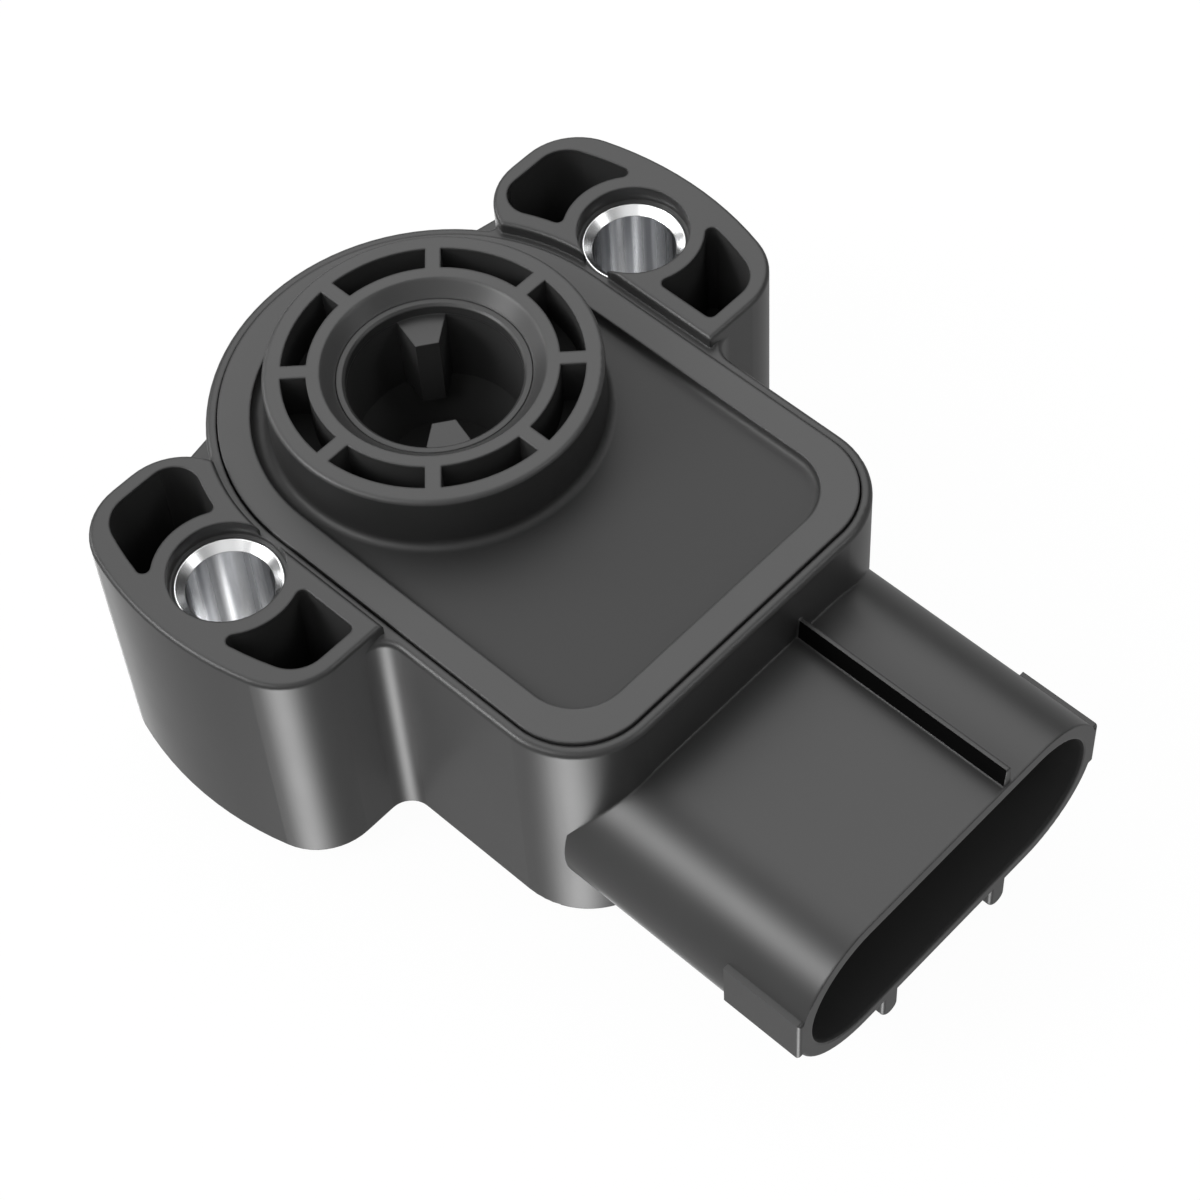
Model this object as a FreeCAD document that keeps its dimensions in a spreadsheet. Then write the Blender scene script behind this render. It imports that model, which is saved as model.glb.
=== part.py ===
import FreeCAD, Part
import math
import os
import re
import Sketcher

# Throttle position sensor: a black moulded case with two screw ears and a connector shroud, closed by a
# cover plate whose round boss pilots in the throttle body. A spring-returned rotor turns inside the boss.
# The origin is on the boss axis, in the plane of the ear faces that seat on the throttle body.
# +Z points out of the boss and +X points out of the connector. All sizes are in millimetres.

os.makedirs("parts", exist_ok=True)
doc = FreeCAD.newDocument("ThrottlePositionSensor")

drivingSizes = {
    # case plan and levels
    "caseHalfWidth": 16.4,
    "caseEnd": 29.25,
    "caseCorner": 6.3,
    "caseWall": 2.9,
    "rimTop": -0.98,
    "baseLevel": -21.4,
    "floorThickness": 1.8,
    "rimRound": 0.45,
    "baseRound": 0.4,
    # screw ears
    "earHalf": 11.05,
    "earProjection": 10.0,
    "earCorner": 4.85,
    "earStep": 0.2,
    "earTailRise": 2.5,
    "earRound": 0.35,
    "valleyRound": 1.7,
    "notchRound": 0.6,
    "webFoot": 10.3,
    "webLevel": -4.8,
    "holeInset": 6.25,
    "counterbore": 4.1,
    # cored pockets in the ear faces
    "coreWallSide": 1.2,
    "coreWallOuter": 1.8,
    "coreWallInner": 1.4,
    "coreWallHole": 1.1,
    "coreDepth": 9.0,
    "coreRound": 0.5,
    "coreOuterRound": 2.6,
    "coreTailRound": 2.0,
    # compression limiters
    "limiterOuter": 3.85,
    "limiterBore": 3.07,
    "limiterDrop": 1.38,
    "limiterBevel": 0.6,
    "limiterEase": 0.1,
    "pressClearance": 0.02,
    # cover plate and its seal
    "seamInset": 0.83,
    "seamWidth": 0.12,
    "coverTop": -0.76,
    "coverThickness": 2.4,
    "sealBedThickness": 0.4,
    "sealBedWidth": 1.4,
    "recessMargin": 1.3,
    "recessEndInset": 2.37,
    "recessCorner": 4.0,
    "recessDepth": 0.8,
    "recessRound": 0.55,
    "locatorHeight": 1.2,
    "locatorWidth": 1.1,
    "locatorGap": 0.15,
    # pilot boss
    "bossRadius": 11.9,
    "bossTop": 3.3,
    "bossEdge": 0.35,
    "bossFoot": 0.6,
    "ringOuter": 10.6,
    "ringInner": 8.82,
    "ringDepth": 4.0,
    "ringCount": 8,
    "spokeWidth": 1.1,
    "mouthRadius": 7.75,
    "mouthEase": 0.15,
    "throatRadius": 6.95,
    "throatDepth": 1.05,
    # rotor
    "journalRadius": 6.83,
    "runningClearance": 0.05,
    "driveRadius": 6.23,
    "driveEase": 0.2,
    "driveWallDepth": 7.6,
    "driveFloorRadius": 4.3,
    "driveFloorDepth": 10.55,
    "lugDrop": 0.95,
    "lugDepth": 6.2,
    "lugTip": 3.5,
    "lugTipWidth": 1.66,
    "lugRootWidth": 3.9,
    "lugAngle": 144.5,
    "travel": 90.0,
    "tabAngle": 250.0,
    "tabSpan": 10.0,
    "tabGap": 0.6,
    "tabHeight": 1.2,
    "stopSpan": 9.0,
    "stopHeight": 1.3,
    "flangeTop": -4.75,
    "flangeThickness": 1.6,
    "barrelRadius": 7.4,
    "barrelEnd": -10.7,
    "hubRadius": 5.4,
    "hubEnd": -15.9,
    "pivotRadius": 2.5,
    "pivotLength": 3.1,
    # shaft seal and washers
    "sealHeight": 2.0,
    "sealOuter": 9.2,
    "sealWall": 0.6,
    "sealSeatTop": -1.95,
    "skirtEnd": -4.1,
    "discSpringInner": 7.3,
    "discSpringThickness": 0.25,
    "discSpringGap": 0.05,
    "thrustInner": 2.75,
    "thrustOuter": 4.7,
    "thrustThickness": 0.5,
    "pivotBossRadius": 5.0,
    # element board, tracks and wiper
    "boardTop": -8.5,
    "boardThickness": 1.0,
    "boardGap": 0.3,
    "boardHoleGap": 0.8,
    "postRadius": 1.5,
    "postX": 20.5,
    "postY": 10.8,
    "postTail": 8.4,
    "trackThickness": 0.08,
    "traceWidth": 0.8,
    "trackSpan": 110.0,
    "wiperThickness": 0.2,
    "wiperAngle": 162.0,
    "wiperSpan": 34.0,
    "wiperLift": 0.06,
    "wiperGap": 0.6,
    "wiperFingerRoot": 1.2,
    "wiperFingerReach": 4.6,
    # terminals
    "terminalPitch": 7.0,
    "terminalThickness": 0.8,
    "terminalWidth": 2.8,
    "terminalLegWidth": 1.2,
    "terminalLegX": 24.3,
    "terminalTip": 38.5,
    "terminalPoint": 1.0,
    "terminalStand": 0.8,
    "solderRadius": 1.2,
    "solderTopRadius": 0.75,
    "solderHeight": 0.7,
    # connector shroud
    "shroudLevel": -13.4,
    "shroudMiddle": -0.4,
    "shroudHalfWidth": 15.4,
    "shroudHalfHeight": 6.78,
    "shroudWall": 1.35,
    "mouthX": 47.5,
    "mouthRound": 0.3,
    "socketFloor": 31.5,
    "guideY": 4.95,
    "guideWidth": 0.7,
    "guideHeight": 1.85,
    "guideSetback": 0.15,
    "railNearY": -6.3,
    "railFarY": 5.2,
    "railWidth": 1.6,
    "railHeight": 2.5,
    "railLength": 9.0,
    "lockProud": 0.1,
    "lockTop": -11.15,
    "lockHeight": 4.4,
    "lockLength": 6.6,
    # return spring
    "springRadius": 6.5,
    "springWire": 0.8,
    "springPitch": 1.05,
    "springTurns": 3.5,
    "springLow": -15.6,
    "springLegLength": 2.6,
    "springStopWidth": 1.6,
    "springEndAngle": 180.0,
    "legSlotGap": 0.25,
    "legSlotSpan": 6.0,
    "legSlotDepth": 1.3,
}

# Sizes that follow from others: the ears from the case, the rotor's and tracks' radii from the room inside
derivedSizes = {
    "earReach": "=caseHalfWidth + earProjection",
    "holePitch": "=2 * (earReach - holeInset)",
    "earRoot": "=caseHalfWidth - earStep",
    "earTail": "=caseHalfWidth + earTailRise",
    "cavityRadius": "=caseHalfWidth - caseWall",
    "cavityEnd": "=caseEnd - caseWall",
    "cavityCorner": "=caseCorner - caseWall",
    "seamMiddle": "=caseHalfWidth - seamInset",
    "seamEnd": "=caseEnd - seamInset",
    "seamCorner": "=caseCorner - seamInset",
    "rotorRoom": "=cavityRadius - barrelRadius",
    "flangeRadius": "=barrelRadius + rotorRoom * 0.69",
    "skirtOuter": "=barrelRadius + rotorRoom * 0.51",
    "discSpringOuter": "=barrelRadius + rotorRoom * 0.42",
    "tabInner": "=barrelRadius + rotorRoom * 0.56",
    "stopInner": "=barrelRadius + rotorRoom * 0.475",
    "stopOuter": "=barrelRadius + rotorRoom * 0.75",
    "resistorRadius": "=barrelRadius + rotorRoom * 0.655",
    "collectorRadius": "=barrelRadius + rotorRoom * 0.345",
    "trackWidth": "=rotorRoom * 0.21",
    "wiperFingerWidth": "=rotorRoom * 0.115",
    "boardHole": "=barrelRadius + boardHoleGap",
}
sheetSizes = {**drivingSizes, **derivedSizes}

sheet = doc.addObject("Spreadsheet::Sheet", "Sizes")
for row, (alias, size) in enumerate(sheetSizes.items(), start=1):
    sheet.set(f"A{row}", alias)
    sheet.set(f"B{row}", str(size))
    sheet.setAlias(f"B{row}", alias)
doc.recompute()


# An expression on the sheet's aliases, written for any object of the document
def bound(expression):
    return re.sub(r"[A-Za-z_]\w*", lambda word: f"Sizes.{word[0]}" if word[0] in sheetSizes else word[0],
                  str(expression))


# The same expression as a number
def value(expression):
    return float(sheet.evalExpression(str(expression)))


def negative(expression):
    return f"-({expression})"


# Sketches on a body's own origin planes

def newBody(label):
    body = doc.addObject("PartDesign::Body", label)
    body.Label = label
    return body


def originPlane(body, role):
    return [plane for plane in body.Origin.OriginFeatures if plane.Role == role][0]


def newSketch(body, name, role="XY_Plane", lift="0"):
    sketch = body.newObject("Sketcher::SketchObject", name)
    sketch.AttachmentSupport = (originPlane(body, role), [""])
    sketch.MapMode = "FlatFace"
    sketch.setExpression("AttachmentOffset.Base.z", bound(lift))
    return sketch


# Holds one point of a sketch at a place given by two expressions
def holdPoint(sketch, geometry, position, x, y, hold="xy"):
    for axis, kind, onAxis, expression in (("x", "DistanceX", -2, x), ("y", "DistanceY", -1, y)):
        if axis not in hold:
            continue
        if abs(value(expression)) < 1e-9:
            sketch.addConstraint(Sketcher.Constraint("PointOnObject", geometry, position, onAxis))
            continue
        number = sketch.addConstraint(
            Sketcher.Constraint(kind, -1, 1, geometry, position, value(expression)))
        sketch.setExpression(f"Constraints[{number}]", bound(expression))


# Draws a closed outline. Each step is (x, y) for the point where it starts, then how it goes on to the
# next point: "line", or ("ccw" | "cw", centreX, centreY) for an arc.
def drawLoop(sketch, steps):
    ends = []
    for index, ((x, y), course) in enumerate(steps):
        nextX, nextY = steps[(index + 1) % len(steps)][0]
        start = FreeCAD.Vector(value(x), value(y), 0)
        end = FreeCAD.Vector(value(nextX), value(nextY), 0)
        if course == "line":
            geometry = sketch.addGeometry(Part.LineSegment(start, end), False)
            ends.append((geometry, 1, 2))
            continue
        sense, centreX, centreY = course
        centre = FreeCAD.Vector(value(centreX), value(centreY), 0)
        first, last = (start, end) if sense == "ccw" else (end, start)
        firstAngle = math.atan2(first.y - centre.y, first.x - centre.x)
        lastAngle = math.atan2(last.y - centre.y, last.x - centre.x)
        if lastAngle <= firstAngle:
            lastAngle += 2 * math.pi
        circle = Part.Circle(centre, FreeCAD.Vector(0, 0, 1), (start - centre).Length)
        geometry = sketch.addGeometry(Part.ArcOfCircle(circle, firstAngle, lastAngle), False)
        ends.append((geometry, 1, 2) if sense == "ccw" else (geometry, 2, 1))
        chord = end - start
        holdPoint(sketch, geometry, 3, centreX, centreY, "x" if abs(chord.y) > abs(chord.x) else "y")
    for index, ((x, y), course) in enumerate(steps):
        geometry, startPosition, endPosition = ends[index]
        nextGeometry, nextStart, nextEnd = ends[(index + 1) % len(steps)]
        sketch.addConstraint(
            Sketcher.Constraint("Coincident", geometry, endPosition, nextGeometry, nextStart))
        holdPoint(sketch, geometry, startPosition, x, y)


def drawPolygon(sketch, points):
    drawLoop(sketch, [(point, "line") for point in points])


def drawCircle(sketch, x, y, radius):
    centre = FreeCAD.Vector(value(x), value(y), 0)
    geometry = sketch.addGeometry(Part.Circle(centre, FreeCAD.Vector(0, 0, 1), value(radius)), False)
    holdPoint(sketch, geometry, 3, x, y)
    number = sketch.addConstraint(Sketcher.Constraint("Radius", geometry, value(radius)))
    sketch.setExpression(f"Constraints[{number}]", bound(radius))


# The upper half of an outline, from right to left, closed by its mirror image in the X axis
def mirroredLoop(upper, leftCourse="line", rightCourse="line"):
    steps = list(upper[:-1]) + [(upper[-1], leftCourse)]
    lowerPoints = [(x, negative(y)) for (x, y) in [step[0] for step in upper[:-1]] + [upper[-1]]][::-1]
    courses = [step[1] for step in upper[:-1]][::-1]
    for point, course in zip(lowerPoints[:-1], courses):
        flipped = course if course == "line" else (course[0], course[1], negative(course[2]))
        steps.append((point, flipped))
    steps.append((lowerPoints[-1], rightCourse))
    return steps


# The plan that the case, cover, seal, cavity and board share: a half circle about the boss axis, straight
# sides, and a square end with rounded corners
def roundEndLoop(radius, end, corner):
    side = f"({radius}) - ({corner})"
    shoulder = f"({end}) - ({corner})"
    upper = [((end, side), ("ccw", shoulder, side)), ((shoulder, radius), "line"), ("0", radius)]
    return mirroredLoop(upper, ("ccw", "0", "0"))


# An oblong with half-round ends about the shroud's axis, on the YZ plane
def oblongLoop(halfWidth, halfHeight):
    right = f"shroudMiddle + ({halfWidth}) - ({halfHeight})"
    left = f"shroudMiddle - ({halfWidth}) + ({halfHeight})"
    top = f"shroudLevel + ({halfHeight})"
    low = f"shroudLevel - ({halfHeight})"
    return [((right, low), ("ccw", right, "shroudLevel")), ((right, top), "line"),
            ((left, top), ("ccw", left, "shroudLevel")), ((left, low), "line")]


# Where a circle about the boss axis meets a circle about (x, y); side is 1 or -1
def circlesMeet(axisRadius, x, y, radius, side):
    square = f"(({x})^2 + ({y})^2)"
    along = f"((({axisRadius})^2 - ({radius})^2 + {square}) / (2 * {square}))"
    across = f"({side} * sqrt(({axisRadius})^2 / {square} - {along}^2))"
    return (f"{along} * ({x}) - {across} * ({y})", f"{along} * ({y}) + {across} * ({x})")


# Features

def pad(body, name, sketch, length, down=False, symmetric=False):
    feature = body.newObject("PartDesign::Pad", name)
    feature.Profile = sketch
    feature.setExpression("Length", bound(length))
    feature.Reversed = down
    if symmetric:
        feature.SideType = "Symmetric"
    doc.recompute()
    return feature


def pocket(body, name, sketch, length, up=False, symmetric=False):
    feature = body.newObject("PartDesign::Pocket", name)
    feature.Profile = sketch
    feature.setExpression("Length", bound(length))
    feature.Reversed = up
    if symmetric:
        feature.SideType = "Symmetric"
    doc.recompute()
    return feature


def revolve(body, name, sketch, kind="Revolution"):
    feature = body.newObject(f"PartDesign::{kind}", name)
    feature.Profile = sketch
    feature.ReferenceAxis = (sketch, ["V_Axis"])
    feature.Angle = 360
    doc.recompute()
    return feature


def fillet(body, name, base, edges, radius):
    feature = body.newObject("PartDesign::Fillet", name)
    feature.Base = (base, edges)
    feature.setExpression("Radius", bound(radius))
    doc.recompute()
    return feature


def chamfer(body, name, base, edges, size):
    feature = body.newObject("PartDesign::Chamfer", name)
    feature.Base = (base, edges)
    feature.setExpression("Size", bound(size))
    doc.recompute()
    return feature


def edgesWhere(feature, test):
    return [f"Edge{number}" for number, edge in enumerate(feature.Shape.Edges, start=1) if test(edge)]


def near(first, second):
    return abs(first - second) < 1e-4


# Upright edges at the given plan places
def uprightEdges(feature, places, low=-1e3, high=1e3):
    spots = [(value(x), value(y)) for x, y in places]

    def test(edge):
        box = edge.BoundBox
        if box.XLength > 1e-4 or box.YLength > 1e-4 or box.ZMin < low or box.ZMax > high:
            return False
        return any(abs(box.Center.x - x) < 1e-3 and abs(box.Center.y - y) < 1e-3 for x, y in spots)

    return edgesWhere(feature, test)


# Edges that lie in a level plane and pass a test on their middle point
def levelEdges(feature, level, test):
    def accept(edge):
        box = edge.BoundBox
        if not near(box.ZMin, value(level)) or not near(box.ZMax, value(level)):
            return False
        middle = edge.valueAt((edge.FirstParameter + edge.LastParameter) / 2)
        return test(middle)

    return edgesWhere(feature, accept)


# A ring or bush turned from a section in the XZ plane
def turned(label, points):
    body = newBody(label)
    sketch = newSketch(body, f"{label}Section", "XZ_Plane")
    drawPolygon(sketch, points)
    revolve(body, f"{label}Turning", sketch)
    return body


# Case: footprint, ears, rebate, cavity, connector shroud

seamOuter = "seamMiddle + seamWidth / 2"
seamInner = "seamMiddle - seamWidth / 2"
seamEndOuter = "seamEnd + seamWidth / 2"
seamEndInner = "seamEnd - seamWidth / 2"
seamCornerOuter = "seamCorner + seamWidth / 2"
seamCornerInner = "seamCorner - seamWidth / 2"
coverUnder = "coverTop - coverThickness"
ledgeLevel = f"{coverUnder} - sealBedThickness"
cavityFloor = "baseLevel + floorThickness"

cornerY = "sqrt((earReach - earCorner)^2 - (earHalf - earCorner)^2)"
cornerScale = "earReach / (earReach - earCorner)"
tipX = f"(earHalf - earCorner) * {cornerScale}"
tipY = f"{cornerY} * {cornerScale}"
notchX, notchY = circlesMeet("caseHalfWidth + notchRound", "earCorner - earHalf", "earTail",
                             "earCorner + notchRound", 1)
notchCaseScale = "caseHalfWidth / (caseHalfWidth + notchRound)"
notchEarScale = "earCorner / (earCorner + notchRound)"
notchEarX = f"(earCorner - earHalf) + ({notchX} - (earCorner - earHalf)) * {notchEarScale}"
notchEarY = f"earTail + ({notchY} - earTail) * {notchEarScale}"
caseSide = "caseHalfWidth - caseCorner"
caseShoulder = "caseEnd - caseCorner"

housing = newBody("housing")

footprint = newSketch(housing, "CaseFootprint", lift="baseLevel")
drawLoop(footprint, mirroredLoop([
    (("caseEnd", caseSide), ("ccw", caseShoulder, caseSide)),
    ((caseShoulder, "caseHalfWidth"), "line"),
    (("earHalf + valleyRound", "caseHalfWidth"), ("cw", "earHalf + valleyRound", "caseHalfWidth + valleyRound")),
    (("earHalf", "caseHalfWidth + valleyRound"), "line"),
    (("earHalf", cornerY), ("ccw", "earHalf - earCorner", cornerY)),
    ((tipX, tipY), ("ccw", "0", "0")),
    ((negative(tipX), tipY), ("ccw", "earCorner - earHalf", cornerY)),
    (("-earHalf", cornerY), "line"),
    (("-earHalf", "earTail"), ("ccw", "earCorner - earHalf", "earTail")),
    ((notchEarX, notchEarY), ("cw", notchX, notchY)),
    (f"({notchX}) * {notchCaseScale}", f"({notchY}) * {notchCaseScale}"),
], ("ccw", "0", "0")))
caseBlock = pad(housing, "CaseBlock", footprint, "rimTop - baseLevel")
rimEdges = fillet(housing, "RimRound", caseBlock, levelEdges(caseBlock, "rimTop", lambda p: True), "rimRound")

# The ear faces stand above the rim; their inner edges follow the round end and the straight side
tailX, tailY = circlesMeet("earRoot", "earCorner - earHalf", "earTail", "earCorner", 1)
earFace = [
    (("earHalf", "earRoot"), "line"),
    (("earHalf", cornerY), ("ccw", "earHalf - earCorner", cornerY)),
    ((tipX, tipY), ("ccw", "0", "0")),
    ((negative(tipX), tipY), ("ccw", "earCorner - earHalf", cornerY)),
    (("-earHalf", cornerY), "line"),
    (("-earHalf", "earTail"), ("ccw", "earCorner - earHalf", "earTail")),
    ((tailX, tailY), ("cw", "0", "0")),
    (("0", "earRoot"), "line"),
]


# The mirror image of a closed outline in the X axis
def mirrorImage(steps):
    count = len(steps)
    mirrored = []
    for index in range(count):
        x, y = steps[count - 1 - index][0]
        course = steps[(count - 2 - index) % count][1]
        flipped = course if course == "line" else (course[0], course[1], negative(course[2]))
        mirrored.append(((x, negative(y)), flipped))
    return mirrored


earFaces = newSketch(housing, "EarFaces")
drawLoop(earFaces, earFace)
drawLoop(earFaces, mirrorImage(earFace))
pad(housing, "EarBlock", earFaces, "rimRound * 2 - rimTop", down=True)

# A lower web fairs each ear's tail into the round end
web = [("-earHalf", "earTail + notchRound"), ("-sqrt(caseHalfWidth^2 - webFoot^2)", "webFoot"),
       ("earCorner - earHalf", "cavityRadius")]
webs = newSketch(housing, "Webs", lift="baseLevel")
drawPolygon(webs, web)
drawPolygon(webs, [(x, negative(y)) for x, y in web])
pad(housing, "WebPads", webs, "webLevel - baseLevel")

# Connector shroud, an oblong tube out of the end wall, with its guide, rails and lock pads
shroudTop = "shroudLevel + shroudHalfHeight"
shroudLow = "shroudLevel - shroudHalfHeight"
overlap = "shroudWall / 4"

shroud = newSketch(housing, "Shroud", "YZ_Plane", "cavityEnd")
drawLoop(shroud, oblongLoop("shroudHalfWidth", "shroudHalfHeight"))
pad(housing, "ShroudTube", shroud, "mouthX - cavityEnd")

guide = newSketch(housing, "Guide", "YZ_Plane", "caseEnd - rimRound")
drawPolygon(guide, [("guideY - guideWidth / 2", f"{shroudTop} - {overlap}"),
                    ("guideY + guideWidth / 2", f"{shroudTop} - {overlap}"),
                    ("guideY + guideWidth / 4", f"{shroudTop} + guideHeight"),
                    ("guideY - guideWidth / 4", f"{shroudTop} + guideHeight")])
pad(housing, "GuideRib", guide, "mouthX - guideSetback - (caseEnd - rimRound)")

rails = newSketch(housing, "Rails", "YZ_Plane", "mouthX - railLength")
for railY in ("railNearY", "railFarY"):
    railLow = f"{shroudLow} - railHeight + railWidth / 2"
    left = f"{railY} - railWidth / 2"
    right = f"{railY} + railWidth / 2"
    drawLoop(rails, [((right, railLow), "line"), ((right, f"{shroudLow} + {overlap}"), "line"),
                     ((left, f"{shroudLow} + {overlap}"), "line"), ((left, railLow), ("ccw", railY, railLow))])
pad(housing, "RailPair", rails, "railLength")

locks = newSketch(housing, "Locks", "YZ_Plane", "mouthX - lockLength")
for side in ("+", "-"):
    outer = f"shroudMiddle {side} (shroudHalfWidth + lockProud)"
    inner = f"shroudMiddle {side} (shroudHalfWidth - shroudWall)"
    drawPolygon(locks, [(inner, "lockTop"), (outer, "lockTop"), (outer, "lockTop - lockHeight"),
                        (inner, "lockTop - lockHeight")])
pad(housing, "LockPads", locks, "lockLength")

earEdges = fillet(housing, "EarRound", housing.Tip, levelEdges(housing.Tip, "0", lambda p: True), "earRound")
baseEdges = fillet(housing, "BaseRound", earEdges, levelEdges(earEdges, "baseLevel", lambda p: True),
                   "baseRound")

rebate = newSketch(housing, "CoverRebate", lift="rimTop")
drawLoop(rebate, roundEndLoop(seamOuter, seamEndOuter, seamCornerOuter))
pocket(housing, "CoverRebateCut", rebate, f"rimTop - ({ledgeLevel})")

cavity = newSketch(housing, "Cavity", lift=ledgeLevel)
drawLoop(cavity, roundEndLoop("cavityRadius", "cavityEnd", "cavityCorner"))
pocket(housing, "CavityCut", cavity, f"{ledgeLevel} - ({cavityFloor})")

socket = newSketch(housing, "Socket", "YZ_Plane", "mouthX")
drawLoop(socket, oblongLoop("shroudHalfWidth - shroudWall", "shroudHalfHeight - shroudWall"))
socketCut = pocket(housing, "SocketCut", socket, "mouthX - socketFloor")


def onSocketMouth(edge):
    box = edge.BoundBox
    inside = box.YLength < 2 * value("shroudHalfWidth - shroudWall") and box.ZMax < value(f"{shroudTop} - {overlap}")
    return near(box.XMin, value("mouthX")) and near(box.XMax, value("mouthX")) and inside


fillet(housing, "MouthRound", socketCut, edgesWhere(socketCut, onSocketMouth), "mouthRound")

terminalRows = [f"shroudMiddle + ({number}) * terminalPitch" for number in (-1, 0, 1)]
slots = newSketch(housing, "TerminalSlots", "YZ_Plane", "socketFloor")
for rowY in terminalRows:
    drawPolygon(slots, [(f"{rowY} - terminalWidth / 2", "shroudLevel - terminalThickness / 2"),
                        (f"{rowY} + terminalWidth / 2", "shroudLevel - terminalThickness / 2"),
                        (f"{rowY} + terminalWidth / 2", "shroudLevel + terminalThickness / 2"),
                        (f"{rowY} - terminalWidth / 2", "shroudLevel + terminalThickness / 2")])
pocket(housing, "TerminalSlotCuts", slots, "socketFloor - cavityEnd")

# Inside: the pivot boss, the board posts and the spring stop stand on the floor
pivotBossTop = "hubEnd - thrustThickness - runningClearance"
pivotBoss = newSketch(housing, "PivotBoss", lift=cavityFloor)
drawCircle(pivotBoss, "0", "0", "pivotBossRadius")
pad(housing, "PivotBossPad", pivotBoss, f"{pivotBossTop} - ({cavityFloor})")
pivotHole = newSketch(housing, "PivotHole", lift=pivotBossTop)
drawCircle(pivotHole, "0", "0", "pivotRadius + runningClearance")
pocket(housing, "PivotHoleCut", pivotHole, "pivotLength")

boardUnder = "boardTop - boardThickness"
posts = newSketch(housing, "BoardPosts", lift=cavityFloor)
for postX, postY in (("postX", "postY"), ("postX", "-postY"), ("-postTail", "postTail"),
                     ("-postTail", "-postTail")):
    drawCircle(posts, postX, postY, "postRadius")
pad(housing, "BoardPostPads", posts, f"{boardUnder} - ({cavityFloor})")

springStop = newSketch(housing, "SpringStop", lift=cavityFloor)
drawPolygon(springStop, [
    ("springRadius + springWire", "springWire / 2 + pressClearance"),
    ("springRadius + springLegLength", "springWire / 2 + pressClearance"),
    ("springRadius + springLegLength", "springWire / 2 + pressClearance + springStopWidth"),
    ("springRadius + springWire", "springWire / 2 + pressClearance + springStopWidth")])
pad(housing, "SpringStopPad", springStop, f"springLow + springWire - ({cavityFloor})")

# Ear holes with their counterbores, then the cored pockets
holeY = "holePitch / 2"
counterbores = newSketch(housing, "Counterbores")
drawCircle(counterbores, "0", holeY, "counterbore")
drawCircle(counterbores, "0", negative(holeY), "counterbore")
pocket(housing, "CounterboreCuts", counterbores, "limiterDrop")
earHoles = newSketch(housing, "EarHoles")
drawCircle(earHoles, "0", holeY, "limiterOuter + pressClearance")
drawCircle(earHoles, "0", negative(holeY), "limiterOuter + pressClearance")
pocket(housing, "EarHoleCuts", earHoles, "-baseLevel")

coreSide = "earHalf - coreWallSide"
coreOuter = "earReach - coreWallOuter"
coreInner = "earRoot + coreWallInner"
coreHole = "counterbore + coreWallHole"
coreTopY = f"sqrt(({coreOuter})^2 - ({coreSide})^2)"
coreTailX = f"coreTailRound - ({coreSide})"
coreTailY = f"sqrt(({coreInner} + coreTailRound)^2 - ({coreTailX})^2)"
coreTailScale = f"({coreInner}) / ({coreInner} + coreTailRound)"
headRight = circlesMeet(coreOuter, "0", holeY, coreHole, -1)
headLeft = circlesMeet(coreOuter, "0", holeY, coreHole, 1)
rootLeft = circlesMeet(coreInner, "0", holeY, coreHole, 1)
rootRight = (f"sqrt(({coreHole})^2 - ({holeY} - ({coreInner}))^2)", coreInner)
frontCore = [
    (rootRight, "line"),
    ((coreSide, coreInner), "line"),
    ((coreSide, coreTopY), ("ccw", "0", "0")),
    (headRight, ("cw", "0", holeY)),
]
tailCore = [
    (headLeft, ("ccw", "0", "0")),
    ((negative(coreSide), coreTopY), "line"),
    ((negative(coreSide), coreTailY), ("ccw", coreTailX, coreTailY)),
    ((f"({coreTailX}) * {coreTailScale}", f"{coreTailY} * {coreTailScale}"), ("cw", "0", "0")),
    (rootLeft, ("cw", "0", holeY)),
]
cores = newSketch(housing, "EarCores")
for outline in (frontCore, tailCore):
    drawLoop(cores, outline)
    drawLoop(cores, mirrorImage(outline))
coreCuts = pocket(housing, "EarCoreCuts", cores, "coreDepth")


def bothSides(points):
    return points + [(x, negative(y)) for x, y in points]


coreTips = fillet(housing, "CoreTipRound", coreCuts,
                  uprightEdges(coreCuts, bothSides([rootRight, headRight, headLeft, rootLeft,
                                                    (coreSide, coreInner)])), "coreRound")
fillet(housing, "CoreCornerRound", coreTips,
       uprightEdges(coreTips, bothSides([(coreSide, coreTopY), (negative(coreSide), coreTopY)])),
       "coreOuterRound")

# Cover plate with the pilot boss

recessRadius = "bossRadius + recessMargin"
recessEnd = "seamEnd - recessEndInset"
recessFloor = "coverTop - recessDepth"

frontCover = newBody("front_cover")
plate = newSketch(frontCover, "CoverPlate", lift=coverUnder)
drawLoop(plate, roundEndLoop(seamInner, seamEndInner, seamCornerInner))
pad(frontCover, "CoverPlatePad", plate, "coverThickness")
recess = newSketch(frontCover, "Recess", lift="coverTop")
drawLoop(recess, roundEndLoop(recessRadius, recessEnd, "recessCorner"))
recessCut = pocket(frontCover, "RecessCut", recess, "recessDepth")
recessWall = fillet(frontCover, "RecessRound", recessCut,
                    levelEdges(recessCut, recessFloor, lambda p: True), "recessRound")
boss = newSketch(frontCover, "Boss", lift=recessFloor)
drawCircle(boss, "0", "0", "bossRadius")
bossPad = pad(frontCover, "BossPad", boss, f"bossTop - ({recessFloor})")
bossFoot = fillet(frontCover, "BossFoot", bossPad, levelEdges(
    bossPad, recessFloor, lambda p: near(math.hypot(p.x, p.y), value("bossRadius"))), "bossFoot")
fillet(frontCover, "BossEdge", bossFoot, levelEdges(bossFoot, "bossTop", lambda p: True), "bossEdge")

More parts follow.
